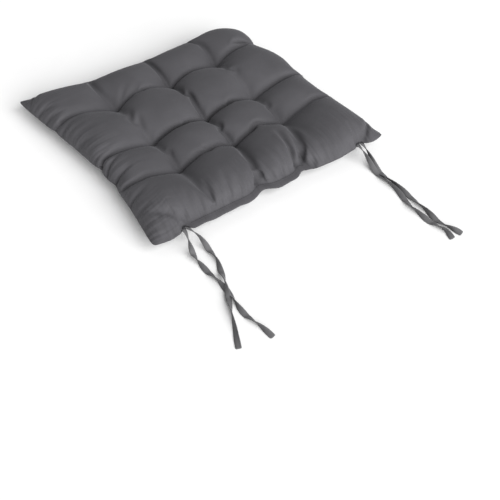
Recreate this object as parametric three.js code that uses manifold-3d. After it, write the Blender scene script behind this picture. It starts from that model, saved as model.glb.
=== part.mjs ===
// Tufted chair seat pad: two fabric covers sewn together round a fibre fill, nine tufting
// stitches drawn through the pad, a flat closing seam at the rear, and two pairs of ribbon ties.
//
// Millimetres, +Z up. The origin is the middle of the underside, on the surface the pad rests
// on. +Y is the rear edge, which faces the chair's back. Left and right are as seen from the front.

import * as THREE from "three";
import { mergeVertices } from "three/addons/utils/BufferGeometryUtils.js";
import Module from "manifold-3d";

const wasm = await Module();
wasm.setup();

// ---- Driving dimensions ----

const SIDE = 400; // corner tip to corner tip
const WAIST = 16; // how far the middle of each side pulls in
const SEAM_Z = 24; // height of the edge seam
const CROWN = 30; // rise of the top cover above the seam
const FABRIC = 1.2; // a cover's thickness
const GAP = 0.3; // clearance between touching pieces

const TUFT_COLUMNS = { left: -0.495, middle: -0.032, right: 0.468 }; // as parts of the half width
const TUFT_ROWS = { front: -0.462, centre: 0.075, rear: 0.473 };
const TUFT_FLOOR = 14; // radius of the flat floor of a tuft's dimple
const TOP_SLOPE = 34; // from that floor out to the undimpled top
const BASE_SLOPE = 18; // the same on the underside
const BASE_DIMPLE = 8; // how far a tuft lifts the underside
const BASE_FLARE = 1.6; // how quickly the underside drops from the seam to the flat

const FILL_EDGE = 0.96; // the fill's outline, as a part of the cover's
const SHOULDER = 0.88; // grid line where the sides turn over into the top
const FLOOR_HALF = 0.05; // half width of the grid cell on each tuft
const MAX_STEP = 0.14; // widest grid cell

const THREAD_RADIUS = 1;
const THREAD_HOLE = 1.4;
const KNOT_RADIUS = 3;
const KNOT_HEIGHT = 1.2;

const LIP_FROM = -64; // the closing seam's lips, along X
const LIP_TO = 137;
const LIP_WIDTH = 12;
const LIP_ROOT = 1; // overlap of a lip and its cover
const STITCH_INSET = 4; // the closing stitch's distance from the rim
const STITCH_WIDTH = 0.8;
const STITCH_HEIGHT = 0.5;

const SEAM_THREAD_EDGE = 0.985; // the edge seam's thread, as a part of the cover's outline
const SEAM_THREAD_SIZE = 1.6;

const TIE_DIAMETER = 4; // a ribbon's width and twists, taken as a round cord
const TIE_SIDES = 8;
const TIE_STEP = 9;
const TACK_SIZE = [12, 3, 3.6];
const TACK_X = { right: 146, left: -158 };

const HALF = SIDE / 2;
const SEAM_GAP = GAP / 2;
const TOP_BASE = SEAM_Z + SEAM_GAP;
const UNDER_RIM = SEAM_Z - SEAM_GAP - FABRIC;
const LAID = TIE_DIAMETER / 2 + 0.2; // height of a tie's middle where it lies flat
const OVER = LAID + TIE_DIAMETER + 0.6; // and where it passes over another

// ---- Materials ----

function cloth(colour, roughness) {
  return new THREE.MeshStandardMaterial({ color: colour, roughness, metalness: 0 });
}

const COVER_CLOTH = cloth(0x58575c, 0.85);
const RIBBON_CLOTH = cloth(0x505052, 0.85);
const THREAD = cloth(0x3a393e, 0.7);
const FIBRE = cloth(0xe9e8e4, 0.95);

// ---- The pad's shape ----

// A point of the plan from u across and v along, each from -1 to 1. The sides curve inwards
// between the corner tips.
function plan(u, v) {
  return [u * (HALF - WAIST * (1 - v * v)), v * (HALF - WAIST * (1 - u * u))];
}

// The rear rim's y at a given x, and its slope there.
function rimY(x) {
  return plan(x / HALF, 1)[1];
}

function rimSlope(x) {
  return (2 * WAIST * x) / (HALF * HALF);
}

// 0 at the rim and 1 in the middle, with steep sides and a flat top.
function fullness(u, v) {
  return Math.sqrt(1 - Math.abs(u) ** 3) * Math.sqrt(1 - Math.abs(v) ** 3);
}

function tuftPlaces() {
  return Object.entries(TUFT_ROWS).flatMap(([row, v]) =>
    Object.entries(TUFT_COLUMNS).map(([column, u]) => ({ name: `${row}_${column}`, at: plan(u, v) })),
  );
}

const TUFTS = tuftPlaces();

// 1 on the floor of a tuft's dimple, falling smoothly to 0 over the slope round it.
function dimple(u, v, slope) {
  const [x, y] = plan(u, v);
  const nearest = Math.min(...TUFTS.map(({ at }) => Math.hypot(x - at[0], y - at[1])));
  return 1 - THREE.MathUtils.smoothstep(nearest, TUFT_FLOOR, TUFT_FLOOR + slope);
}

function topInside(u, v) {
  return TOP_BASE + CROWN * fullness(u, v) * (1 - dimple(u, v, TOP_SLOPE));
}

function underOutside(u, v) {
  const drop = UNDER_RIM * Math.min(1, BASE_FLARE * fullness(u, v));
  return UNDER_RIM - drop + BASE_DIMPLE * dimple(u, v, BASE_SLOPE);
}

// ---- Geometry helpers ----

// Grid lines across the pad: close together at the rim, one on each side of every row of
// tufts, and evenly spaced between those.
function gridLines(tufts) {
  const floors = tufts.flatMap((middle) => [middle - FLOOR_HALF, middle + FLOOR_HALF]);
  const stops = [-1, -FILL_EDGE, -SHOULDER, ...floors, SHOULDER, FILL_EDGE, 1];
  return stops.flatMap((stop, i) => {
    if (i === 0) return [stop];
    const width = stop - stops[i - 1];
    const steps = Math.ceil(width / MAX_STEP);
    return Array.from({ length: steps }, (_, k) => stops[i - 1] + (width * (k + 1)) / steps);
  });
}

// A closed solid between two height maps, with upright sides round its outline. Each cell is
// split along the diagonal that points away from the middle, the same way in every layer.
function slab(us, vs, place, low, high) {
  const positions = [];
  for (const height of [low, high]) {
    for (const v of vs) {
      for (const u of us) positions.push(...place(u, v), height(u, v));
    }
  }
  const at = (layer, i, j) => (layer * vs.length + j) * us.length + i;
  const index = [];
  const quad = (a, b, c, d) => index.push(a, b, c, a, c, d);
  const lastI = us.length - 1;
  const lastJ = vs.length - 1;

  for (let j = 0; j < lastJ; j++) {
    for (let i = 0; i < lastI; i++) {
      const [low0, low1, low2, low3] = corners(0, i, j);
      const [top0, top1, top2, top3] = corners(1, i, j);
      quad(top0, top1, top2, top3);
      quad(low2, low1, low0, low3);
    }
  }
  for (let i = 0; i < lastI; i++) {
    quad(at(0, i, 0), at(0, i + 1, 0), at(1, i + 1, 0), at(1, i, 0));
    quad(at(0, i + 1, lastJ), at(0, i, lastJ), at(1, i, lastJ), at(1, i + 1, lastJ));
  }
  for (let j = 0; j < lastJ; j++) {
    quad(at(0, 0, j + 1), at(0, 0, j), at(1, 0, j), at(1, 0, j + 1));
    quad(at(0, lastI, j), at(0, lastI, j + 1), at(1, lastI, j + 1), at(1, lastI, j));
  }

  const geometry = new THREE.BufferGeometry();
  geometry.setAttribute("position", new THREE.Float32BufferAttribute(positions, 3));
  geometry.setIndex(index);
  geometry.computeVertexNormals();
  return geometry;

  // A cell's corners, anticlockwise from above, from the one its diagonal starts at.
  function corners(layer, i, j) {
    const ring = [at(layer, i, j), at(layer, i + 1, j), at(layer, i + 1, j + 1), at(layer, i, j + 1)];
    const outward = (us[i] + us[i + 1]) * (vs[j] + vs[j + 1]) >= 0;
    return outward ? ring : [ring[1], ring[2], ring[3], ring[0]];
  }
}

function toSolid(geometry) {
  const bare = geometry.clone();
  bare.deleteAttribute("normal");
  bare.deleteAttribute("uv");
  const merged = mergeVertices(bare);
  const vertProperties = new Float32Array(merged.attributes.position.array);
  const triVerts = new Uint32Array(merged.index.array);
  return new wasm.Manifold(new wasm.Mesh({ numProp: 3, vertProperties, triVerts }));
}

function toGeometry(solid) {
  const mesh = solid.getMesh();
  const geometry = new THREE.BufferGeometry();
  geometry.setAttribute("position", new THREE.BufferAttribute(mesh.vertProperties, 3));
  geometry.setIndex(new THREE.BufferAttribute(mesh.triVerts, 1));
  geometry.computeVertexNormals();
  return geometry;
}

// The solid with a hole for each tuft's thread.
function pierced(solid) {
  return TUFTS.reduce((rest, { at }) => {
    const drill = new THREE.CylinderGeometry(THREAD_HOLE, THREAD_HOLE, SIDE, 10);
    drill.rotateX(Math.PI / 2).translate(at[0], at[1], 0);
    return rest.subtract(toSolid(drill));
  }, solid);
}

function range(from, to, steps) {
  return Array.from({ length: steps + 1 }, (_, k) => from + ((to - from) * k) / steps);
}

function mesh(name, geometry, material) {
  const piece = new THREE.Mesh(geometry, material);
  piece.name = name;
  return piece;
}

// ---- Covers and fill ----

const US = gridLines(Object.values(TUFT_COLUMNS));
const VS = gridLines(Object.values(TUFT_ROWS));

// A strip along the rear rim, from one distance behind it to another, between two heights.
function rimStrip(from, to, low, high) {
  const place = (x, y) => [x, rimY(x) + y];
  return slab(range(LIP_FROM, LIP_TO, 10), [from, to], place, () => low, () => high);
}

// Half of the closing seam: the flat allowance of one cover, left standing behind the rim.
function lip(low) {
  return toSolid(rimStrip(-LIP_ROOT, LIP_WIDTH, low, low + FABRIC));
}

function topCover() {
  const dome = toSolid(slab(US, VS, plan, topInside, (u, v) => topInside(u, v) + FABRIC));
  return mesh("top_cover", toGeometry(pierced(dome.add(lip(TOP_BASE)))), COVER_CLOTH);
}

function bottomCover() {
  const tray = toSolid(slab(US, VS, plan, underOutside, (u, v) => underOutside(u, v) + FABRIC));
  return mesh("bottom_cover", toGeometry(pierced(tray.add(lip(UNDER_RIM)))), COVER_CLOTH);
}

// The fill has the covers' own grid inside its outline, so it keeps an even gap to both.
function fibreFill() {
  const inside = (line) => Math.abs(line) <= FILL_EDGE;
  const low = (u, v) => underOutside(u, v) + FABRIC + GAP;
  const high = (u, v) => topInside(u, v) - GAP;
  const wad = toSolid(slab(US.filter(inside), VS.filter(inside), plan, low, high));
  return mesh("fibre_fill", toGeometry(pierced(wad)), FIBRE);
}

// ---- Threads ----

// One tufting stitch: a thread through the whole pad, with a flat knot on each face.
function tuftThread({ name, at }) {
  const under = BASE_DIMPLE - GAP;
  const over = TOP_BASE + FABRIC + GAP;
  const profile = [
    [0, under - KNOT_HEIGHT],
    [KNOT_RADIUS, under - KNOT_HEIGHT],
    [KNOT_RADIUS, under],
    [THREAD_RADIUS, under],
    [THREAD_RADIUS, over],
    [KNOT_RADIUS, over],
    [KNOT_RADIUS, over + KNOT_HEIGHT],
    [0, over + KNOT_HEIGHT],
  ].map(([r, z]) => new THREE.Vector2(r, z));
  const thread = mesh(`tuft_thread_${name}`, new THREE.LatheGeometry(profile, 10), THREAD);
  thread.rotation.x = Math.PI / 2;
  thread.position.set(at[0], at[1], 0);
  return thread;
}

// The line of machine stitching that closes the lips once the pad is filled.
function closingStitch() {
  const low = TOP_BASE + FABRIC + GAP;
  const line = rimStrip(STITCH_INSET, STITCH_INSET + STITCH_WIDTH, low, low + STITCH_HEIGHT);
  return mesh("closing_stitch", line, THREAD);
}

// The thread that joins the covers, all round just inside the rim.
function edgeSeamThread() {
  const side = range(-1, 1, 10).slice(0, -1);
  const edges = [
    ...side.map((t) => [t, -1]),
    ...side.map((t) => [1, t]),
    ...side.map((t) => [-t, 1]),
    ...side.map((t) => [-1, -t]),
  ];
  const loop = edges.map(([u, v]) => new THREE.Vector2(...plan(u, v)).multiplyScalar(SEAM_THREAD_EDGE));
  const inner = 1 - SEAM_THREAD_SIZE / (HALF - WAIST);
  const ring = new THREE.Shape(loop);
  ring.holes.push(new THREE.Path(loop.map((point) => point.clone().multiplyScalar(inner)).reverse()));
  const thread = new THREE.ExtrudeGeometry(ring, { depth: SEAM_THREAD_SIZE, bevelEnabled: false });
  thread.translate(0, 0, SEAM_Z - SEAM_THREAD_SIZE / 2);
  return mesh("edge_seam_thread", thread, THREAD);
}

// ---- Ties ----

// Each tie's route, from the seam down to the resting surface and out behind the pad.
const TIE_ROUTES = {
  tie_right_under: [
    [149.6, 197.6, SEAM_Z], [150.6, 204, 22.6], [153, 213, 17.5], [155, 222, 11], [156.5, 232, 5.2],
    [157.5, 243, LAID], [157, 256, LAID], [156, 270, LAID], [156, 284, LAID], [155.5, 297, LAID],
    [155, 310, LAID], [157, 324, LAID], [160, 338, LAID], [160.5, 352, LAID], [159, 368, LAID],
    [157, 386, LAID], [154.5, 402, LAID], [153, 411, LAID],
  ],
  tie_right_over: [
    [142.8, 197.1, SEAM_Z], [140.6, 203, 22.6], [136.5, 210.5, 17.5], [134, 219, 11], [132.5, 229, 5.2],
    [132.5, 241, LAID], [135, 254, LAID], [140, 269, LAID + 0.6], [145.5, 284, LAID + 3],
    [151, 297, OVER], [156.8, 310, OVER], [163, 324, LAID + 3], [169.5, 338, LAID + 0.6],
    [176.5, 352, LAID], [184, 368, LAID], [192, 384, LAID], [200, 401, LAID],
  ],
  tie_left_inner: [
    [-154.6, 198.5, SEAM_Z], [-154.6, 205, 22.6], [-155, 213.5, 17.5], [-155.2, 222, 11],
    [-155, 232, 5.2], [-154.6, 243, LAID], [-154.2, 256, LAID], [-153.6, 270, LAID],
    [-153, 284, LAID], [-151.8, 298, LAID], [-149.4, 313, LAID], [-147, 328, LAID],
    [-146, 344, LAID], [-147, 360, LAID], [-150.5, 378, LAID], [-152.5, 395, LAID], [-151, 411, LAID],
  ],
  tie_left_outer: [
    [-161.4, 199, SEAM_Z], [-161.2, 204.5, 22.6], [-160.8, 213, 17.5], [-160.4, 222, 11],
    [-160, 232, 5.2], [-159.4, 243, LAID], [-159, 256, LAID], [-158.6, 270, LAID],
    [-158.6, 284, LAID], [-159.4, 298, LAID], [-159.8, 313, LAID], [-159, 328, LAID],
    [-158, 344, LAID], [-157.6, 360, LAID], [-158.6, 378, LAID], [-161.5, 395, LAID], [-168, 411, LAID],
  ],
};

function tie([name, route]) {
  const path = new THREE.CatmullRomCurve3(route.map((point) => new THREE.Vector3(...point)));
  const section = new THREE.Shape(
    Array.from({ length: TIE_SIDES }, (_, k) => {
      const turn = (2 * Math.PI * (k + 0.5)) / TIE_SIDES;
      return new THREE.Vector2(Math.cos(turn), Math.sin(turn)).multiplyScalar(TIE_DIAMETER / 2);
    }),
  );
  const steps = Math.round(path.getLength() / TIE_STEP);
  const ribbon = new THREE.ExtrudeGeometry(section, { steps, extrudePath: path, bevelEnabled: false });
  return mesh(name, ribbon, RIBBON_CLOTH);
}

// The dense stitching that holds a pair of ties in the edge seam.
function tieTack([side, x]) {
  const tack = mesh(`tie_tack_${side}`, new THREE.BoxGeometry(...TACK_SIZE), THREAD);
  const slope = rimSlope(x);
  const clear = TACK_SIZE[1] / 2 + GAP + (TACK_SIZE[0] / 2) ** 2 * (WAIST / HALF ** 2);
  tack.rotation.z = Math.atan(slope);
  tack.position.set(x, rimY(x) + clear, SEAM_Z);
  return tack;
}

// ---- Assembly ----

const pad = new THREE.Group();
pad.add(topCover(), bottomCover(), fibreFill());
pad.add(edgeSeamThread(), closingStitch());
pad.add(...TUFTS.map(tuftThread));
pad.add(...Object.entries(TACK_X).map(tieTack));
pad.add(...Object.entries(TIE_ROUTES).map(tie));

export default pad;
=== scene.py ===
"""Looks for the tufted chair seat pad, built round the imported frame.

Makes the filled covers, the ribbon ties, the stitches, the light and the camera.

Everything is in metres. +Y is the pad's rear edge, with the closing seam and the ties, and
left and right are as seen from the front, so +X is right.
"""

import math

import bpy
import numpy as np
from mathutils import Matrix, Vector


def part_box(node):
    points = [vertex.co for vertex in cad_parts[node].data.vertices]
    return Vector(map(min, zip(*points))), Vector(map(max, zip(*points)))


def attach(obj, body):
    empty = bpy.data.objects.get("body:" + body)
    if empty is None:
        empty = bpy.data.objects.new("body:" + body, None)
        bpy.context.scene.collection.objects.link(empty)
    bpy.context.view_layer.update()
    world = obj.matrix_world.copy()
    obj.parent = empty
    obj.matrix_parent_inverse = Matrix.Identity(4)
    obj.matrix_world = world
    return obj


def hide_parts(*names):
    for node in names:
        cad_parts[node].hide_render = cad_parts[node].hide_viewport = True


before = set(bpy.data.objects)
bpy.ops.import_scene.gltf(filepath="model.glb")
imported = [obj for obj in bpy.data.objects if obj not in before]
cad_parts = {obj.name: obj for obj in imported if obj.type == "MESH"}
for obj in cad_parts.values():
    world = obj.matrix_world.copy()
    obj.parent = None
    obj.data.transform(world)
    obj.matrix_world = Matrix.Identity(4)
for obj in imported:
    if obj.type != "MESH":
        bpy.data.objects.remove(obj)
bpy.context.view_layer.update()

# ---- Places taken from the frame ----

SEAM_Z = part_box("edge_seam_thread")[0].z + 0.0008
LIP_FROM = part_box("closing_stitch")[0].x
LIP_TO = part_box("closing_stitch")[1].x
ROWS = ("front", "centre", "rear")
COLUMNS = ("left", "middle", "right")

# ---- The cloth ----

CUT = 0.416  # side of each flat panel between its seams
HALF = 0.200  # from the middle to a corner, across or along, once filled
COARSE_CELLS = 28  # cloth cells along a side in the first of three passes, doubled each pass

# How far each side of the seam is drawn in between its corners. The rear side bows out a little.
WAIST_RIGHT = 0.018
WAIST_LEFT = 0.014
WAIST_REAR = -0.002
WAIST_FRONT = 0.034

KNOT = 0.001  # from the lower end of a tuft's thread to the cloth that it holds
TUFT_GAP = 0.011  # distance that the drawn thread leaves between the covers


def tuft_place(row, column):
    """Where a tuft holds the upper and the lower cover, from the box of its CAD thread."""
    low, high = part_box(f"tuft_thread_{row}_{column}")
    x, y, z = (low.x + high.x) / 2, (low.y + high.y) / 2, low.z + KNOT
    return (x, y, z + TUFT_GAP), (x, y, z)


TUFTS = np.array([[tuft_place(row, column) for row in ROWS] for column in COLUMNS])
# The tufts' columns and rows on the flat panel.
TUFT_X = [CUT / 2 * x / (HALF - (WAIST_RIGHT if x > 0 else WAIST_LEFT)) for x in TUFTS[:, 1, 0, 0]]
TUFT_Y = [CUT / 2 * y / (HALF - (WAIST_REAR if y > 0 else WAIST_FRONT)) for y in TUFTS[1, :, 0, 1]]


# ==== Helpers ====

CLOTH_MAP = "cloth"  # the map that gives each vertex its place on the flat cloth
CURVE_STEPS = 12  # steps between two given points of a smooth line


def mesh_object(name, points, faces, material):
    """A new smooth-shaded mesh object from a list of points and faces."""
    mesh = bpy.data.meshes.new(name)
    mesh.from_pydata([tuple(map(float, p)) for p in points], [], faces)
    mesh.validate()
    mesh.polygons.foreach_set("use_smooth", [True] * len(mesh.polygons))
    mesh.materials.append(material)
    piece = bpy.data.objects.new(name, mesh)
    bpy.context.scene.collection.objects.link(piece)
    return piece


def subdivide(piece, levels):
    """Smooths the piece with a subdivision surface."""
    modifier = piece.modifiers.new("smooth", "SUBSURF")
    modifier.levels = levels
    modifier.render_levels = levels


def smoothstep(value, low, high):
    """0 below low and 1 above high, with a smooth rise between."""
    t = np.clip((np.asarray(value, float) - low) / (high - low), 0, 1)
    return t * t * (3 - 2 * t)


def along(points):
    """Distance from the first point to each point of a line."""
    steps = np.linalg.norm(np.diff(points, axis=0), axis=1)
    return np.concatenate([[0], np.cumsum(steps)])


def smooth_line(points, step):
    """Points at an even step along the smooth curve through the given ones."""
    knots = np.asarray(points, float)
    padded = np.vstack([2 * knots[0] - knots[1], knots, 2 * knots[-1] - knots[-2]])
    fine = []
    for p0, p1, p2, p3 in zip(padded, padded[1:], padded[2:], padded[3:]):
        for t in np.linspace(0, 1, CURVE_STEPS, endpoint=False):
            bend = 2 * p0 - 5 * p1 + 4 * p2 - p3
            twist = 3 * p1 - p0 - 3 * p2 + p3
            fine.append(p1 + 0.5 * t * ((p2 - p0) + t * (bend + t * twist)))
    fine = np.array(fine + [knots[-1]])
    reach = along(fine)
    places = np.linspace(0, reach[-1], max(2, round(reach[-1] / step)) + 1)
    return np.stack([np.interp(places, reach, fine[:, k]) for k in range(3)], axis=1)


def sweep(line, sections):
    """Points and faces of a closed tube: sections[k] is the outline about line[k], across and up.

    Across stays level with the ground, and up is square to it and to the line.
    """
    ahead = np.gradient(line, axis=0)
    ahead /= np.linalg.norm(ahead, axis=1)[:, None]
    level = np.cross(ahead, (0, 0, 1))
    length = np.linalg.norm(level, axis=1)[:, None]
    level = np.where(length > 1e-6, level / np.maximum(length, 1e-6), (1, 0, 0))
    up = np.cross(level, ahead)
    points = []
    for centre, side, rise, outline in zip(line, level, up, sections):
        points.extend(centre + a * side + b * rise for a, b in outline)
    count = len(sections[0])
    faces = []
    for k in range(len(line) - 1):
        for i in range(count):
            j = (i + 1) % count
            low, high = k * count, (k + 1) * count
            faces.append((low + i, low + j, high + j, high + i))
    faces.append(tuple(reversed(range(count))))
    last = (len(line) - 1) * count
    faces.append(tuple(range(last, last + count)))
    return points, faces


def ring(radius, sides=8):
    """A round outline for sweep()."""
    turns = np.arange(sides) * 2 * math.pi / sides
    return np.stack([np.cos(turns), np.sin(turns)], axis=1) * radius


def thread_runs(name, runs, radius, material):
    """One object made of short lengths of thread, each a tube along its own points."""
    points, faces = [], []
    for run in runs:
        line = smooth_line(run, radius * 2)
        new_points, new_faces = sweep(line, [ring(radius)] * len(line))
        faces.extend(tuple(i + len(points) for i in face) for face in new_faces)
        points.extend(new_points)
    return mesh_object(name, points, faces, material)


def lay_cloth(mesh, places):
    """Gives each vertex its place on the flat cloth, in metres, for the weave to follow."""
    layer = mesh.uv_layers.new(name=CLOTH_MAP)
    index = np.zeros(len(mesh.loops), np.int32)
    mesh.loops.foreach_get("vertex_index", index)
    layer.data.foreach_set("uv", np.asarray(places, np.float32)[index].ravel())


# ==== Materials ====

COVER_COLOUR = (0.064, 0.0625, 0.068)
RIBBON_COLOUR = (0.112, 0.111, 0.115)
THREAD_COLOUR = (0.035, 0.034, 0.038)

WEAVE_PITCH = 0.0005  # width of one thread of the weave
WEAVE_HEIGHT = 0.00012
SLUB_STRETCH = (90, 2600, 1)  # slubs are noise drawn out along the cloth
PATCH_SCALE = 22
PATCH_SHARE = 0.65  # part of the cloth's unevenness that is broad patches
SLUB_SHARE = 0.35  # and the part that is slubs
DARKEST_PART = 0.86  # the uneven cloth's darkest and lightest parts, as shares of its colour
LIGHTEST_PART = 1.12
CLOTH_ROUGHNESS = (0.74, 0.9)  # where there are no slubs, and on the slubs
CREASING_SCALE = 75
CREASING_HEIGHT = 0.0012  # of the soft creasing all over
PUCKER_HEIGHT = 0.0036  # of the puckers along the rear and right seams
PUCKERS_FROM = 0.130  # distance from the panel's middle at which the puckers start
PUCKERS_FULL = 0.185  # and at which they are at their full height
REAR_PUCKERS = (130, 9, 1)  # noise drawn out so that its ridges run in from the rear seam
RIGHT_PUCKERS = (9, 110, 1)  # and from the right seam

# Painted shade: the cloth's colour is darkened where it is closed in by other cloth, as in a deep crease,
# on top of the shade that the light itself gives.
CREVICE = 0.010  # how far off the other cloth counts
CREVICE_CLOSED = 0.3  # open share of the view below which the darkening is at its full strength
CREVICE_OPEN = 0.9  # and above which there is none
CREVICE_SHADE_DARKEST = 0.5  # the cloth's colour is multiplied by this where the painted shade is at full strength


class Shader:
    """A material and its node tree, with short calls for adding nodes."""

    def __init__(self, name, colour, roughness, sheen):
        self.material = bpy.data.materials.new(name)
        self.material.use_nodes = True
        self.tree = self.material.node_tree
        self.surface = self.tree.nodes["Principled BSDF"]
        self.surface.inputs["Base Color"].default_value = (*colour, 1)
        self.surface.inputs["Roughness"].default_value = roughness
        self.surface.inputs["Specular IOR Level"].default_value = 0.25
        self.surface.inputs["Sheen Weight"].default_value = sheen
        self.surface.inputs["Sheen Roughness"].default_value = 0.45
        self.surface.inputs["Sheen Tint"].default_value = (0.75, 0.75, 0.8, 1)

    def node(self, kind, inputs=None, **settings):
        made = self.tree.nodes.new(kind)
        for key, value in settings.items():
            setattr(made, key, value)
        for key, value in (inputs or {}).items():
            if isinstance(value, bpy.types.NodeSocket):
                self.tree.links.new(value, made.inputs[key])
            else:
                made.inputs[key].default_value = value
        return made

    def link(self, source, key):
        self.tree.links.new(source, self.surface.inputs[key])

    def noise(self, place, scale, detail=3):
        made = self.node("ShaderNodeTexNoise", {"Vector": place, "Scale": scale, "Detail": detail})
        return made.outputs["Fac"]

    def math(self, operation, *values):
        made = self.node("ShaderNodeMath", operation=operation)
        for socket, value in zip(made.inputs, values):
            if isinstance(value, bpy.types.NodeSocket):
                self.tree.links.new(value, socket)
            else:
                socket.default_value = value
        return made.outputs[0]

    def bump(self, height, strength, distance, below=None):
        inputs = {"Height": height, "Strength": strength, "Distance": distance}
        if below is not None:
            inputs["Normal"] = below
        return self.node("ShaderNodeBump", inputs).outputs["Normal"]

    def ramp(self, factor, dark, light, low=0.0, high=1.0):
        made = self.node("ShaderNodeValToRGB", {"Fac": factor})
        stops = made.color_ramp.elements
        stops[0].position, stops[0].color = low, (*dark, 1)
        stops[1].position, stops[1].color = high, (*light, 1)
        return made.outputs["Color"]


def woven(shader, place, pitch):
    """Height of a plain weave: warp and weft threads that pass over and under by turns."""
    parts = shader.node("ShaderNodeSeparateXYZ", {"Vector": place})
    turn = math.pi / pitch
    across = shader.math("SINE", shader.math("MULTIPLY", parts.outputs["X"], turn))
    down = shader.math("SINE", shader.math("MULTIPLY", parts.outputs["Y"], turn))
    warp = shader.math("ABSOLUTE", across)
    weft = shader.math("ABSOLUTE", down)
    over = shader.math("GREATER_THAN", shader.math("MULTIPLY", across, down), 0.0)
    under = shader.math("SUBTRACT", 1.0, over)
    warp_on_top = shader.math("MULTIPLY", warp, over)
    weft_on_top = shader.math("MULTIPLY", weft, under)
    return shader.math("ADD", warp_on_top, weft_on_top)


def edge_puckers(shader, place):
    """Height of the fine puckers that run in from the rear and right seams."""
    parts = shader.node("ShaderNodeSeparateXYZ", {"Vector": place})
    heights = []
    for axis, scale in (("Y", REAR_PUCKERS), ("X", RIGHT_PUCKERS)):
        stretched = shader.node("ShaderNodeMapping", {"Vector": place, "Scale": scale}).outputs["Vector"]
        near = shader.node(
            "ShaderNodeMapRange",
            {"Value": parts.outputs[axis], "From Min": PUCKERS_FROM, "From Max": PUCKERS_FULL},
        )
        heights.append(shader.math("MULTIPLY", shader.noise(stretched, 1, 1), near.outputs["Result"]))
    return shader.math("ADD", *heights)


def painted_crease_shade(shader, colour):
    """The colour with painted shade: darker where nearby cloth closes in on it, from an ambient occlusion
    node.
    """
    hollow = shader.node("ShaderNodeAmbientOcclusion", {"Distance": CREVICE}, samples=8)
    open_share = shader.node(
        "ShaderNodeMapRange",
        {
            "Value": hollow.outputs["AO"],
            "From Min": CREVICE_CLOSED,
            "From Max": CREVICE_OPEN,
            "To Min": CREVICE_SHADE_DARKEST,
        },
    )
    shaded = shader.node(
        "ShaderNodeVectorMath", {0: colour, 1: open_share.outputs["Result"]}, operation="MULTIPLY"
    )
    return shaded.outputs["Vector"]


def cloth_material(name, colour):
    """Matt dark microfibre: a fine weave, faint slubs, soft creasing, a little fuzz, and painted shade
    that darkens its deep creases.
    """
    shader = Shader(name, colour, 0.82, 0.12)
    place = shader.node("ShaderNodeUVMap", uv_map=CLOTH_MAP).outputs["UV"]
    solid = shader.node("ShaderNodeTexCoord").outputs["Object"]
    weave = woven(shader, place, WEAVE_PITCH)
    drawn_out = shader.node("ShaderNodeMapping", {"Vector": place, "Scale": SLUB_STRETCH})
    slubs = shader.noise(drawn_out.outputs["Vector"], 1)
    patches = shader.noise(solid, PATCH_SCALE, 4)
    patch_shade = shader.math("MULTIPLY", patches, PATCH_SHARE)
    slub_shade = shader.math("MULTIPLY", slubs, SLUB_SHARE)
    shade = shader.math("ADD", patch_shade, slub_shade)
    dark = tuple(c * DARKEST_PART for c in colour)
    light = tuple(c * LIGHTEST_PART for c in colour)
    plain = shader.ramp(shade, dark, light, 0.3, 0.7)
    # painted shade: the base colour is darkened in the creases, beyond the shade that the light gives
    shader.link(painted_crease_shade(shader, plain), "Base Color")
    smoother, rougher = CLOTH_ROUGHNESS
    rough = shader.node("ShaderNodeMapRange", {"Value": slubs, "To Min": smoother, "To Max": rougher})
    shader.link(rough.outputs["Result"], "Roughness")
    creased = shader.bump(shader.noise(solid, CREASING_SCALE, 2), 0.16, CREASING_HEIGHT)
    puckered = shader.bump(edge_puckers(shader, place), 0.9, PUCKER_HEIGHT, creased)
    shader.link(shader.bump(weave, 0.35, WEAVE_HEIGHT, puckered), "Normal")
    return shader.material


def thread_material(name, colour):
    """Sewing thread: two plies twisted round each other."""
    shader = Shader(name, colour, 0.6, 0.1)
    solid = shader.node("ShaderNodeTexCoord").outputs["Object"]
    plies = shader.node(
        "ShaderNodeTexWave", {"Vector": solid, "Scale": 900, "Distortion": 1.5}, bands_direction="DIAGONAL"
    )
    dark = tuple(c * 0.6 for c in colour)
    shader.link(shader.ramp(plies.outputs["Fac"], dark, colour), "Base Color")
    shader.link(shader.bump(plies.outputs["Fac"], 0.5, 0.0002), "Normal")
    return shader.material


# ==== Camera ====

CAMERA_AT = (0.7361, 1.2422, 1.1525)
CAMERA_HEADING = 213.57  # degrees from +Y towards +X
CAMERA_DROP = 44.41  # degrees below the level
CAMERA_ROLL = -2.0
CAMERA_LENS = 86.4  # millimetres, on a sensor 36 mm wide


def make_camera():
    """The photograph's viewpoint: above the rear right corner, looking down across the pad."""
    place = Vector(CAMERA_AT)
    heading = math.radians(CAMERA_HEADING)
    drop = math.radians(CAMERA_DROP)
    roll = math.radians(CAMERA_ROLL)
    ahead = Vector(
        (math.cos(drop) * math.sin(heading), math.cos(drop) * math.cos(heading), -math.sin(drop))
    )
    right = ahead.cross(Vector((0, 0, 1))).normalized()
    up = right.cross(ahead)
    across = math.cos(roll) * right + math.sin(roll) * up
    upward = -math.sin(roll) * right + math.cos(roll) * up
    data = bpy.data.cameras.new("camera")
    data.sensor_width = 36
    data.lens = CAMERA_LENS
    camera = bpy.data.objects.new("camera", data)
    turn = Matrix((across, upward, -ahead)).transposed().to_4x4()
    camera.matrix_world = Matrix.Translation(place) @ turn
    bpy.context.scene.collection.objects.link(camera)
    bpy.context.scene.camera = camera


# ==== Ties ====

RIBBON_WIDTH = 0.0085
RIBBON_THICK = 0.0014
SEWN_IN = 0.008  # length of ribbon inside the seam
RIBBON_STEP = 0.0025  # distance between the outlines along a ribbon
LANDING = 0.03  # length over which a ribbon comes down from the seam
LAID = 0.0022  # height of a route where the ribbon lies on the floor
OVER = 0.0068  # and where it crosses over the other ribbon of its pair
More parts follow.
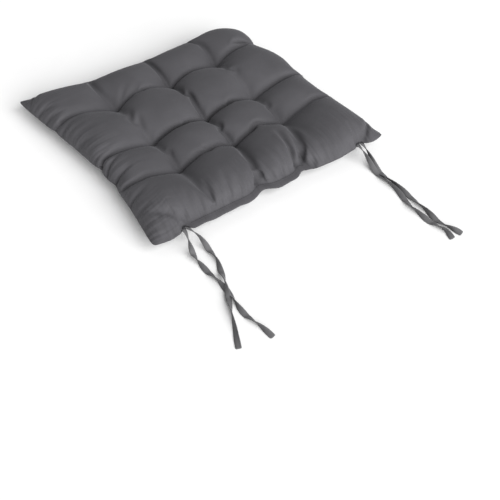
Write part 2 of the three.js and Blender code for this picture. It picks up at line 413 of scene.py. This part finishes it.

# The ribbons' routes, listed point by point.
TIE_ROUTES = {
    "tie_right_under": [
        (0.1496, 0.1976, SEAM_Z), (0.1506, 0.2040, 0.0226), (0.1530, 0.2130, 0.0175),
        (0.1550, 0.2220, 0.0110), (0.1565, 0.2320, 0.0052), (0.1575, 0.2430, LAID),
        (0.1570, 0.2560, LAID), (0.1560, 0.2700, LAID), (0.1560, 0.2840, LAID), (0.1555, 0.2970, LAID),
        (0.1550, 0.3100, LAID), (0.1570, 0.3240, LAID), (0.1600, 0.3380, LAID), (0.1605, 0.3520, LAID),
        (0.1590, 0.3680, LAID), (0.1570, 0.3860, LAID), (0.1545, 0.4020, LAID), (0.1530, 0.4110, LAID),
    ],
    "tie_right_over": [
        (0.1428, 0.1971, SEAM_Z), (0.1406, 0.2030, 0.0226), (0.1365, 0.2105, 0.0175),
        (0.1340, 0.2190, 0.0110), (0.1325, 0.2290, 0.0052), (0.1325, 0.2410, LAID),
        (0.1350, 0.2540, LAID), (0.1400, 0.2690, 0.0028), (0.1455, 0.2840, 0.0052), (0.1510, 0.2970, OVER),
        (0.1568, 0.3100, OVER), (0.1630, 0.3240, 0.0052), (0.1695, 0.3380, 0.0028), (0.1765, 0.3520, LAID),
        (0.1840, 0.3680, LAID), (0.1920, 0.3840, LAID), (0.2000, 0.4010, LAID),
    ],
    "tie_left_inner": [
        (-0.1546, 0.1985, SEAM_Z), (-0.1546, 0.2050, 0.0226), (-0.1550, 0.2135, 0.0175),
        (-0.1552, 0.2220, 0.0110), (-0.1550, 0.2320, 0.0052), (-0.1546, 0.2430, LAID),
        (-0.1542, 0.2560, LAID), (-0.1536, 0.2700, LAID), (-0.1530, 0.2840, LAID), (-0.1518, 0.2980, LAID),
        (-0.1494, 0.3130, LAID), (-0.1470, 0.3280, LAID), (-0.1460, 0.3440, LAID), (-0.1470, 0.3600, LAID),
        (-0.1505, 0.3780, LAID), (-0.1525, 0.3950, LAID), (-0.1510, 0.4110, LAID),
    ],
    "tie_left_outer": [
        (-0.1614, 0.1990, SEAM_Z), (-0.1612, 0.2045, 0.0226), (-0.1608, 0.2130, 0.0175),
        (-0.1604, 0.2220, 0.0110), (-0.1600, 0.2320, 0.0052), (-0.1594, 0.2430, LAID),
        (-0.1590, 0.2560, LAID), (-0.1586, 0.2700, LAID), (-0.1586, 0.2840, LAID), (-0.1594, 0.2980, LAID),
        (-0.1598, 0.3130, LAID), (-0.1590, 0.3280, LAID), (-0.1580, 0.3440, LAID), (-0.1576, 0.3600, LAID),
        (-0.1586, 0.3780, LAID), (-0.1615, 0.3950, LAID), (-0.1680, 0.4110, LAID),
    ],
}
# Where along each tie its ribbon stands on edge, at a half twist.
# The distances start where the ribbon leaves the seam.
HALF_TWISTS = {
    "tie_right_under": (0.019, 0.051, 0.098, 0.143, 0.196),
    "tie_right_over": (0.023, 0.062, 0.114, 0.165),
    "tie_left_inner": (0.019, 0.087, 0.151, 0.203),
    "tie_left_outer": (0.018, 0.084, 0.152, 0.204),
}


def ribbon_outline(turn):
    """A flat ribbon's outline with rounded edges, turned about its middle."""
    half, thick = RIBBON_WIDTH / 2, RIBBON_THICK / 2
    corner = thick * 0.7
    outline = [
        (-half, 0), (-half + corner, -thick), (0, -thick), (half - corner, -thick),
        (half, 0), (half - corner, thick), (0, thick), (-half + corner, thick),
    ]
    c, s = math.cos(turn), math.sin(turn)
    return [(a * c - b * s, a * s + b * c) for a, b in outline]


def make_tie(name, material):
    """A flat ribbon along its route, with its half twists."""
    first = TIE_ROUTES[name][0]
    sewn_in = (first[0], first[1] - SEWN_IN, first[2])
    line = smooth_line([sewn_in, *TIE_ROUTES[name]], RIBBON_STEP)
    reach = along(line)
    edges = [SEWN_IN + at for at in HALF_TWISTS[name]]
    stops = [0, *edges, reach[-1]]
    last = math.pi * len(edges)
    turns = np.interp(reach, stops, [0, *(math.pi * (k + 0.5) for k in range(len(edges))), last])
    turns = np.convolve(np.pad(turns, 3, mode="edge"), np.ones(7) / 7, mode="valid")
    rise = RIBBON_THICK / 2 + np.abs(np.sin(turns)) * (RIBBON_WIDTH - RIBBON_THICK) / 2
    settled = smoothstep(reach, SEWN_IN, SEWN_IN + LANDING)
    line[:, 2] = np.maximum(line[:, 2] - LAID, 0) + rise * settled + LAID * (1 - settled)
    points, faces = sweep(line, [ribbon_outline(turn) for turn in turns])
    piece = mesh_object(f"ribbon_{name}", points, faces, material)
    across = [a for a, _ in ribbon_outline(0)]
    lay_cloth(piece.data, [(a, distance) for distance in reach for a in across])
    subdivide(piece, 1)
    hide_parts(name)
    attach(piece, "root")


# ==== Cloth simulation ====

# Notches in the seam, where a crease or a pair of ties draws it in: place, depth and half width.
REAR_NOTCHES = (
    (0.014, 0.009, 0.013), (-0.057, 0.009, 0.011), (0.146, 0.008, 0.007), (-0.158, 0.008, 0.007),
    (-0.112, -0.003, 0.026), (0.175, -0.003, 0.014), (-0.180, -0.003, 0.012),
)
LEFT_NOTCHES = ((-0.090, 0.011, 0.030), (-0.030, -0.002, 0.020))
RIGHT_NOTCHES = ((0.018, 0.003, 0.009), (0.062, 0.003, 0.012), (-0.100, 0.002, 0.009))
TIP_ROUND = 0.0020  # how far each corner's tip is rounded off
TIP_REACH = 0.02  # how far from a tip that is felt, as a part of the half side
CORNER_TUCK = (0.018, 0.036, -0.014)  # how far the front left corner is tucked in and under
TUCK_ACROSS = 0.35  # how far from that corner the tuck is felt, as parts of the half side
TUCK_ALONG = 0.4
# The closing seam is a flat band, stitched this far in from the edge of the cloth.
CLOSING_BAND = 0.0130
CLOSING_THICK = 0.0020
CLOSING_DROOP = 0.0020  # how far the band's edge hangs below the seam
# The ripples along the band's edge, as sines: height, length that turns one radian, and start.
BAND_RIPPLES = ((0.0008, 0.009, 0), (0.0006, 0.0047, 1))

SPARE = 0.13  # share of extra cloth in the upper cover, inside the gathered seam
SPARE_UNDER = 0.02  # and in the lower cover
GATHER = 0.030  # how far in from the seam it builds up
SHEAR = 0.15  # strength of the cloth on the bias, where it gives easily
BEND = 0.2  # strength of the springs over two cells, which resist folding
FULL = 0.062  # thickness at which the fill stops pushing
MOST = 1.5  # the fill's greatest push, where the pad is thin
THINNEST = 0.001  # thickness below which the fill's push grows no more
# The fill is thinner in grooves along the lines between tufts. 1 is no fill at all.
GROOVE_WIDTH = 0.006
GROOVE_INNER = 0.85  # between the outer tufts
ROW_OUTER = 0.9  # from the outer tufts to the side seams
COLUMN_OUTER = 0.45  # and to the front and rear seams
REAR_LEAN = (0.036, 0.020, 0.0)  # how far each column's groove leans from its tuft to the rear seam
REAR_CREASE = 0.9  # depth that the left and middle grooves reach at the rear seam
REAR_CREASE_TO = 0.03  # the deep rear grooves are left of here
CORNER_FULL = 0.35  # how much more fill has gathered in the front left corner
CORNER_FILL_AT = 0.36  # how far from the middle that is, both ways, as a part of the panel's side
CORNER_FILL_REACH = 0.22  # and how far it spreads
CORNER_FLAT = 0.030  # how far from each corner the spare cloth takes to build up
SEAM_HOLD = 0.1  # how firmly the seam is kept at its height
UNDER_EDGE = 0.070  # how far in from the seam the fill reaches its full push on the lower cover
SWELL = 0.003  # how far each cover starts from the seam's height, so that the fill can push
RAMP = 0.35  # share of the steps in which the pressure rises
DAMPING = 0.98  # share of a point's speed that it keeps in the next step
WEIGHT = 1e-6  # how far the cloth's own weight moves it in a step
TOP_SPEED = 0.0025  # the furthest a point's speed carries it in a step

ROW_CREASE = 0.0040  # depth of the creases between the tufts of each row
ROW_CREASE_WIDTH = 0.003
PLEAT_WIDTH = 0.0028
PLEAT_DEPTH = 3.4  # all the pleats' depths are multiplied by this
BAND_CREASE = 0.0020  # depth of the crease where the upper cover meets the closing band
BAND_CREASE_WIDTH = 0.003
BAND_CREASE_INSET = 0.002  # from the band to the crease's middle
# Pleats in the upper cover, on the flat panel: where each starts at the seam, where it fades out,
# and its depth.
PLEATS = (
    ((0.186, 0.204), (0.176, 0.160), 0.0010), ((0.170, 0.204), (0.166, 0.168), 0.0014),
    ((0.154, 0.204), (0.158, 0.164), 0.0018), ((0.148, 0.204), (0.140, 0.172), 0.0018),
    ((0.132, 0.194), (0.126, 0.150), 0.0010), ((0.116, 0.194), (0.112, 0.158), 0.0014),
    ((0.098, 0.194), (0.086, 0.140), 0.0016), ((0.084, 0.194), (0.078, 0.162), 0.0010),
    ((0.068, 0.194), (0.060, 0.146), 0.0018), ((0.050, 0.194), (0.048, 0.160), 0.0012),
    ((0.034, 0.194), (0.030, 0.166), 0.0010), ((0.018, 0.194), (0.008, 0.126), 0.0030),
    ((0.006, 0.194), (0.000, 0.160), 0.0014), ((-0.010, 0.194), (-0.008, 0.152), 0.0012),
    ((-0.026, 0.194), (-0.030, 0.164), 0.0016), ((-0.040, 0.194), (-0.044, 0.150), 0.0014),
    ((-0.054, 0.196), (-0.066, 0.120), 0.0032), ((-0.064, 0.198), (-0.078, 0.132), 0.0026),
    ((-0.078, 0.204), (-0.090, 0.160), 0.0012), ((-0.096, 0.204), (-0.104, 0.166), 0.0010),
    ((-0.112, 0.204), (-0.114, 0.172), 0.0012), ((-0.130, 0.204), (-0.132, 0.162), 0.0010),
    ((-0.146, 0.204), (-0.144, 0.170), 0.0012), ((-0.160, 0.204), (-0.158, 0.168), 0.0018),
    ((-0.174, 0.204), (-0.168, 0.176), 0.0010),
    ((0.204, -0.150), (0.170, -0.140), 0.0014), ((0.204, -0.128), (0.166, -0.124), 0.0012),
    ((0.204, -0.104), (0.150, -0.106), 0.0020), ((0.204, -0.084), (0.160, -0.090), 0.0014),
    ((0.204, -0.040), (0.168, -0.034), 0.0010), ((0.204, 0.004), (0.158, -0.004), 0.0016),
    ((0.204, 0.020), (0.146, 0.008), 0.0022), ((0.204, 0.040), (0.156, 0.026), 0.0016),
    ((0.204, 0.062), (0.162, 0.058), 0.0018), ((0.204, 0.086), (0.170, 0.090), 0.0010),
    ((0.204, 0.120), (0.160, 0.116), 0.0014), ((0.204, 0.146), (0.172, 0.144), 0.0010),
)

# For each pass: steps, rounds of the springs in a step, pressure and resistance to squeezing.
PASSES = (
    (700, 6, 1.0e-4, 0.02),
    (260, 6, 7.0e-5, 0.05),
    (160, 8, 4.4e-5, 0.10),
)


def flat_panel(cells):
    """The cloth points of the flat panel, spaced so that each tuft falls on a point."""
    steps = np.linspace(0, 4, cells + 1)
    x = np.interp(steps, range(5), [-CUT / 2, *TUFT_X, CUT / 2])
    y = np.interp(steps, range(5), [-CUT / 2, *TUFT_Y, CUT / 2])
    return np.stack(np.meshgrid(x, y, indexing="ij"), axis=-1)


def tuft_cells(cells):
    """The cloth points that the tufting threads hold, as two index arrays."""
    lines = np.arange(1, 4) * (cells // 4)
    return np.repeat(lines, 3), np.tile(lines, 3)


def notched(places, notches):
    """How far the notches draw the seam in at places along it."""
    return sum(depth * np.exp(-(((places - at) / width) ** 2)) for at, depth, width in notches)


def drawn_in(flat):
    """Where the flat panel's points lie once its sides are drawn in by the fill."""
    a, b = np.moveaxis(flat / (CUT / 2), -1, 0)
    right = WAIST_RIGHT * (1 + b / 2) * (1 - b**2) ** 1.5 + notched(b * HALF, RIGHT_NOTCHES)
    rear = WAIST_REAR * (1 - a**2) + notched(a * HALF, REAR_NOTCHES)
    left = WAIST_LEFT * (1 - b**2) + notched(b * HALF, LEFT_NOTCHES)
    across = np.where(a > 0, right, left)
    down = np.where(b > 0, rear, WAIST_FRONT * (1 - a**2))
    from_tip = (1 - np.abs(a)) ** 2 + (1 - np.abs(b)) ** 2
    blunt = TIP_ROUND * np.exp(-from_tip / TIP_REACH**2)
    x = a * (HALF - across - blunt)
    y = b * (HALF - down - blunt)
    return np.stack([x, y, np.full_like(x, SEAM_Z)], axis=-1)


def seam_outline(flat):
    """The filled pad's outline, with its front left corner tucked in and under."""
    a, b = np.moveaxis(flat / (CUT / 2), -1, 0)
    tucked = np.exp(-(((a + 1) / TUCK_ACROSS) ** 2) - ((b + 1) / TUCK_ALONG) ** 2)
    return drawn_in(flat) + tucked[..., None] * np.array(CORNER_TUCK)


def beside_closing(x):
    """Which of the places across the flat panel are along the closing seam."""
    stretch = CUT / 2 / HALF
    return (x > LIP_FROM * stretch) & (x < LIP_TO * stretch)


def closing_band(flat):
    """The cloth points of the flat band along the closing seam, and their middle heights."""
    x, y = np.moveaxis(flat, -1, 0)
    slack = 0.0005  # so that the points on the band's inner line count
    band = beside_closing(x) & (y > CUT / 2 - CLOSING_BAND - slack)
    out = (y - (CUT / 2 - CLOSING_BAND)) / CLOSING_BAND
    wave = sum(height * np.sin(x / length + start) for height, length, start in BAND_RIPPLES)
    heights = SEAM_Z - CLOSING_DROOP * out + wave * out
    return band, heights


def inside(flat):
    """Distance of each cloth point from the panel's nearest edge."""
    return CUT / 2 - np.abs(flat).max(axis=-1)


def spring_groups(flat):
    """Pairs of cloth points held at a distance: (near, far, distance, strength).

    The pairs are grouped so that no point is in a group twice, because a group moves together.
    """
    size = flat.shape[0]
    from_corner = np.hypot(*np.moveaxis(CUT / 2 - np.abs(flat), -1, 0))
    gathered = smoothstep(inside(flat), 0, GATHER) * smoothstep(from_corner, 0, CORNER_FLAT)
    spare = np.stack([1 + SPARE * gathered, 1 + SPARE_UNDER * gathered])[..., None]
    place = drawn_in(flat)[None, ..., :2]
    groups = []

    def add(near, far, strength):
        gap = np.linalg.norm(place[far] - place[near], axis=-1, keepdims=True)
        groups.append((near, far, gap * (spare[near] + spare[far]) / 2, strength))

    for reach, strength in ((1, 1.0), (2, BEND)):
        for first in range(2 * reach):
            near = slice(first, size - reach, 2 * reach)
            far = slice(first + reach, size, 2 * reach)
            add(np.s_[:, near], np.s_[:, far], strength)
            add(np.s_[:, :, near], np.s_[:, :, far], strength)
    low, high = slice(0, size - 1), slice(1, size)
    for first in range(2):
        near, far = slice(first, size - 1, 2), slice(first + 1, size, 2)
        for before, after in ((low, high), (high, low)):
            add(np.s_[:, near, before], np.s_[:, far, after], SHEAR)
    return groups


def draw_together(points, group, push):
    """Moves each pair of a group towards its distance; push is the resistance to being squeezed."""
    near, far, distance, strength = group
    gap = points[far] - points[near]
    length = np.sqrt((gap * gap).sum(-1, keepdims=True))
    stretch = 1 - distance / np.maximum(length, 1e-9)
    move = gap * (0.5 * strength * np.where(stretch > 0, stretch, stretch * push))
    points[near] += move
    points[far] -= move


def outward(points):
    """The cloth's outward normals, as long as each point's share of the area is large."""
    spacing = CUT / (points.shape[1] - 1)
    down = np.gradient(points, axis=1)
    across = np.gradient(points, axis=2)
    normals = np.cross(down, across) / spacing**2
    normals[1] *= -1
    return normals


def fill_room(flat):
    """How thick the fill can push the pad at each cloth point."""
    x, y = np.moveaxis(flat, -1, 0)

    def groove(distances):
        nearest = np.min(np.abs(distances), axis=0)
        return np.exp(-((nearest / GROOVE_WIDTH) ** 2))

    def depth(places, lines, outer):
        among = (places > lines[0]) & (places < lines[-1])
        return np.where(among, GROOVE_INNER, outer)

    beyond = np.clip((y - TUFT_Y[2]) / (CUT / 2 - TUFT_Y[2]), 0, 1)
    from_columns = [x - at - lean * beyond for at, lean in zip(TUFT_X, REAR_LEAN)]
    rear_depth = REAR_CREASE * beyond * (x < REAR_CREASE_TO)
    columns = groove(from_columns) * np.maximum(depth(y, TUFT_Y, COLUMN_OUTER), rear_depth)
    rows = groove([y - at for at in TUFT_Y]) * depth(x, TUFT_X, ROW_OUTER)
    from_corner = (x / CUT + CORNER_FILL_AT) ** 2 + (y / CUT + CORNER_FILL_AT) ** 2
    corner = np.exp(-from_corner / CORNER_FILL_REACH**2)
    return FULL * (1 - np.maximum(columns, rows)) * (1 + CORNER_FULL * corner)


def settle(points, steps, rounds, pressure, push):
    """Fills the pad and lets the cloth come to rest on the floor. points is changed in place."""
    flat = flat_panel(points.shape[1] - 1)
    groups = spring_groups(flat)
    room = fill_room(flat)
    seam = seam_outline(flat)
    tufts = tuft_cells(points.shape[1] - 1)
    held = np.moveaxis(TUFTS.reshape(9, 2, 3), 1, 0)
    band, heights = closing_band(flat)
    reach = np.stack([np.ones_like(room), smoothstep(inside(flat), 0, UNDER_EDGE)]) * ~band
    speed = np.zeros_like(points)
    for step in range(steps):
        ramp = min(1.0, (step + 1) / (RAMP * steps))
        thick = np.maximum(points[0, ..., 2] - points[1, ..., 2], THINNEST)
        force = np.clip(room / thick - 1, 0, MOST) * pressure * ramp
        before = points.copy()
        points += speed * DAMPING + outward(points) * (force * reach)[..., None]
        points[..., 2] -= WEIGHT
        for _ in range(rounds):
            for group in groups:
                draw_together(points, group, push)
            points[:, tufts[0], tufts[1]] = held
            for cover, side in ((0, 1), (1, -1)):
                points[cover, band, :2] = seam[band, :2]
                points[cover, band, 2] = heights[band] + side * CLOSING_THICK / 2
            for rim in (np.s_[0, :], np.s_[-1, :], np.s_[:, 0], np.s_[:, -1]):
                joined = (points[0][rim] + points[1][rim]) / 2
                joined[..., :2] = seam[rim][..., :2]
                joined[..., 2] += SEAM_HOLD * (seam[rim][..., 2] - joined[..., 2])
                points[0][rim] = joined
                points[1][rim] = joined
            np.maximum(points[..., 2], 0, out=points[..., 2])
            np.maximum(points[0, ..., 2], points[1, ..., 2], out=points[0, ..., 2])
        speed = points - before
        pace = np.sqrt((speed**2).sum(-1, keepdims=True))
        speed *= np.minimum(1, TOP_SPEED / np.maximum(pace, 1e-9))


def finer(points):
    """The same cloth with twice as many cells along each side."""
    size = 2 * points.shape[1] - 1
    fine = np.zeros((2, size, size, 3))
    fine[:, ::2, ::2] = points
    fine[:, 1::2, ::2] = (points[:, 1:] + points[:, :-1]) / 2
    fine[:, :, 1::2] = (fine[:, :, :-2:2] + fine[:, :, 2::2]) / 2
    return fine


def crease_depth(flat):
    """How deep the upper cover's small creases are pressed in at each cloth point."""
    x, y = np.moveaxis(flat, -1, 0)
    depth = np.zeros_like(x)
    across = (x > TUFT_X[0]) & (x < TUFT_X[2])
    for at in TUFT_Y:
        row = ROW_CREASE * np.exp(-(((y - at) / ROW_CREASE_WIDTH) ** 2))
        depth = np.maximum(depth, row * across)
    for (x0, y0), (x1, y1), deep in PLEATS:
        start, run = np.array((x0, y0)), np.array((x1 - x0, y1 - y0))
        share = np.clip(((flat - start) @ run) / (run @ run), 0, 1)
        gap = np.linalg.norm(flat - start - share[..., None] * run, axis=-1)
        pleat = PLEAT_DEPTH * deep * np.exp(-((gap / PLEAT_WIDTH) ** 2))
        depth = np.maximum(depth, pleat * (1 - share**2))
    from_crease = y - (CUT / 2 - CLOSING_BAND - BAND_CREASE_INSET)
    along_band = BAND_CREASE * np.exp(-((from_crease / BAND_CREASE_WIDTH) ** 2))
    depth = np.maximum(depth, along_band * beside_closing(x))
    band, _ = closing_band(flat)
    return np.where(band, 0, depth)


def filled_covers():
    """The two covers' points once sewn, tufted and filled, as (cover, across, along, xyz)."""
    flat = flat_panel(COARSE_CELLS)
    points = np.stack([seam_outline(flat)] * 2)
    swell = SWELL * np.cos(math.pi * flat[..., 0] / CUT) * np.cos(math.pi * flat[..., 1] / CUT)
    points[0, ..., 2] += swell
    points[1, ..., 2] -= swell
    passes = PASSES
    for number, (steps, rounds, pressure, push) in enumerate(passes):
        if number:
            points = finer(points)
        settle(points, steps, rounds, pressure, push)
    normals = outward(points)[0]
    normals /= np.maximum(np.linalg.norm(normals, axis=-1, keepdims=True), 1e-9)
    points[0] -= normals * crease_depth(flat_panel(points.shape[1] - 1))[..., None]
    return points


# ==== Covers ====

# How sharp the mesh stays when it is smoothed, from 0 to 1.
SEAM_SHARP = 0.9
ROW_SHARP = 0.6
TUFT_SHARP = 1.0


def make_cushion(points, material):
    """The sewn covers as one closed form, sharp along the seam and the rows of tufts."""
    size = points.shape[1]
    ids = np.arange(size * size).reshape(size, size)
    rim = np.zeros((size, size), bool)
    rim[[0, -1], :] = True
    rim[:, [0, -1]] = True
    under = np.where(rim, ids, 0)
    inner = ~rim
    under[inner] = size * size + np.arange(inner.sum())
    vertices = np.vstack([points[0].reshape(-1, 3), points[1][inner]])
    flat = flat_panel(size - 1)
    places = np.vstack([flat.reshape(-1, 2), flat[inner]])
    faces = []
    for i in range(size - 1):
        for j in range(size - 1):
            top = (ids[i, j], ids[i + 1, j], ids[i + 1, j + 1], ids[i, j + 1])
            low = (under[i, j], under[i, j + 1], under[i + 1, j + 1], under[i + 1, j])
            faces.append(tuple(map(int, top)))
            faces.append(tuple(map(int, low)))
    piece = mesh_object("pad_covers", vertices, faces, material)
    lay_cloth(piece.data, places)
    crease = piece.data.attributes.new("crease_edge", "FLOAT", "EDGE")
    on_rim = rim.ravel()
    rows = np.zeros((size, size), bool)
    quarter = size // 4
    rows[quarter:3 * quarter + 1, quarter::quarter] = True
    rows[:, -1] = False
    on_row = rows.ravel()
    for edge in piece.data.edges:
        a, b = edge.vertices
        if max(a, b) >= size * size:
            continue
        if on_rim[a] and on_rim[b]:
            crease.data[edge.index].value = SEAM_SHARP
        elif on_row[a] and on_row[b]:
            crease.data[edge.index].value = ROW_SHARP
    sharp = piece.data.attributes.new("crease_vert", "FLOAT", "POINT")
    for i, j in zip(*tuft_cells(size - 1)):
        for number in (ids[i, j], under[i, j]):
            sharp.data[int(number)].value = TUFT_SHARP
    subdivide(piece, 1)
    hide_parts("top_cover", "bottom_cover", "fibre_fill", "edge_seam_thread")
    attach(piece, "root")


# ==== Stitches ====

THREAD = 0.0003  # radius of the sewing thread
STITCH = 0.0032  # length of the closing seam's stitches
STITCH_SPACE = 0.0003  # left free at each end of a stitch
STITCH_INSET = 0.0108  # from the band's edge to its stitches
STITCH_DEPTH = 0.0005  # how far a stitch goes into the cloth at its ends
TUFT_STITCH = 0.0050  # length of the stitches of a tuft's knot
TUFT_TURNS = (0.2, 1.3, 2.4)  # directions of the stitches of a tuft's knot, in radians
TUFT_RISE = 0.0006  # how far a tuft's knot stands off the cloth
TACK_TURNS = 15  # turns of thread round the seam where a pair of ties is sewn in
TACK_INSET = 0.0008  # from the seam's edge to the middle of those turns


def over_and_under(start, end, up):
    """One visible stitch: out of the cloth, along it and back in. up is 1 on top, -1 beneath."""
    start, end = np.array(start), np.array(end)
    depth = np.array([0, 0, up * STITCH_DEPTH])
    lift = np.array([0, 0, up * THREAD * 0.7])
    near, far = start + (end - start) * 0.15, start + (end - start) * 0.85
    return [start - depth, near + lift, far + lift, end - depth]


def make_tuft_stitch(row, column, material):
    """A tuft's drawn thread: a knot of crossed stitches on each cover and the cord between them."""
    top, low = TUFTS[COLUMNS.index(column), ROWS.index(row)]
    runs = [[low, (low + top) / 2, top]]
    for middle, up in ((top, 1), (low, -1)):
        for turn in TUFT_TURNS:
            half = TUFT_STITCH / 2 * np.array([math.cos(turn), math.sin(turn), 0])
            rise = np.array([0, 0, up * TUFT_RISE])
            runs.append([middle - half - rise / 2, middle + rise * 1.6, middle + half - rise / 2])
    piece = thread_runs(f"tuft_stitch_{row}_{column}", runs, THREAD * 1.3, material)
    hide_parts(f"tuft_thread_{row}_{column}")
    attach(piece, "root")


def band_place(x, inset):
    """A point in the middle of the closing band, inset from its edge."""
    flat = np.array([[x * CUT / 2 / HALF, CUT / 2 - inset]])
    _, height = closing_band(flat)
    across, along_y, _ = seam_outline(flat)[0]
    return np.array([across, along_y, height[0]])


def make_closing_stitches(material):
    """The row of machine stitches that closes the cover, on both faces of its flat band."""
    runs = []
    count = int((LIP_TO - LIP_FROM) / STITCH)
    for k in range(count):
        x = LIP_FROM + k * STITCH
        start = band_place(x + STITCH_SPACE, STITCH_INSET)
        end = band_place(x + STITCH - STITCH_SPACE, STITCH_INSET)
        for up in (1, -1):
            face = np.array([0, 0, up * CLOSING_THICK / 2])
            runs.append(over_and_under(start + face, end + face, up))
    piece = thread_runs("closing_stitches", runs, THREAD, material)
    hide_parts("closing_stitch")
    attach(piece, "root")


def make_tack(side, material):
    """Close whipped stitches round the seam, which hold a pair of ties."""
    low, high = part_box(f"tie_tack_{side}")
    turns = np.linspace(0, TACK_TURNS * 2 * math.pi, TACK_TURNS * 10 + 1)
    x = np.linspace(low.x + THREAD, high.x - THREAD, len(turns))
    edge = seam_outline(np.stack([x * CUT / 2 / HALF, np.full_like(x, CUT / 2)], axis=-1))[:, 1]
    reach, rise = (high.y - low.y) / 2, (high.z - low.z) / 2 - THREAD
    y = edge - TACK_INSET + reach * np.cos(turns)
    z = SEAM_Z + rise * np.sin(turns)
    piece = thread_runs(f"tie_stitches_{side}", [np.stack([x, y, z], axis=1)], THREAD, material)
    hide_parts(f"tie_tack_{side}")
    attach(piece, "root")


# ==== Floor and light ====

FLOOR_REACH = 6.0
FLOOR_DROP = 0.0003  # how far the floor is below the pad, so that the two never coincide
SKY = 0.31  # strength of the even light from all round
KEY_FROM = (-0.05, 0.85, 0.46)  # direction that the main light comes from
KEY_ANGLE = 60  # degrees that the main light spans, which softens its shadows
KEY_POWER = 5.8


def make_floor():
    """A wide white floor under the pad."""
    shader = Shader("floor_white", (0.9, 0.9, 0.9), 0.9, 0.0)
    grain = shader.noise(shader.node("ShaderNodeTexCoord").outputs["Object"], 30)
    shader.link(shader.ramp(grain, (0.89, 0.89, 0.89), (0.91, 0.91, 0.91)), "Base Color")
    corners = [(x * FLOOR_REACH, y * FLOOR_REACH, 0) for x, y in ((-1, -1), (1, -1), (1, 1), (-1, 1))]
    floor = mesh_object("floor", corners, [(0, 1, 2, 3)], shader.material)
    floor.location.z = -FLOOR_DROP


def make_light():
    """Soft white studio light: an even sky, and a broad main light from beyond the rear edge."""
    world = bpy.data.worlds.new("studio")
    bpy.context.scene.world = world
    world.use_nodes = True
    sky = world.node_tree.nodes["Background"]
    sky.inputs["Color"].default_value = (1, 1, 1, 1)
    sky.inputs["Strength"].default_value = SKY
    data = bpy.data.lights.new("key", "SUN")
    data.energy = KEY_POWER
    data.angle = math.radians(KEY_ANGLE)
    key = bpy.data.objects.new("key", data)
    key.rotation_mode = "QUATERNION"
    key.rotation_quaternion = Vector(KEY_FROM).to_track_quat("Z", "Y")
    bpy.context.scene.collection.objects.link(key)
    bpy.context.scene.view_settings.view_transform = "Standard"


# ==== The scene ====

make_camera()
ribbon_cloth = cloth_material("ribbon_cloth", RIBBON_COLOUR)
for tie_name in TIE_ROUTES:
    make_tie(tie_name, ribbon_cloth)

cover_cloth = cloth_material("cover_cloth", COVER_COLOUR)
covers = filled_covers()
make_cushion(covers, cover_cloth)

thread = thread_material("sewing_thread", THREAD_COLOUR)
for row in ROWS:
    for column in COLUMNS:
        make_tuft_stitch(row, column, thread)
make_closing_stitches(thread)
for side in ("right", "left"):
    make_tack(side, thread)

make_floor()
make_light()
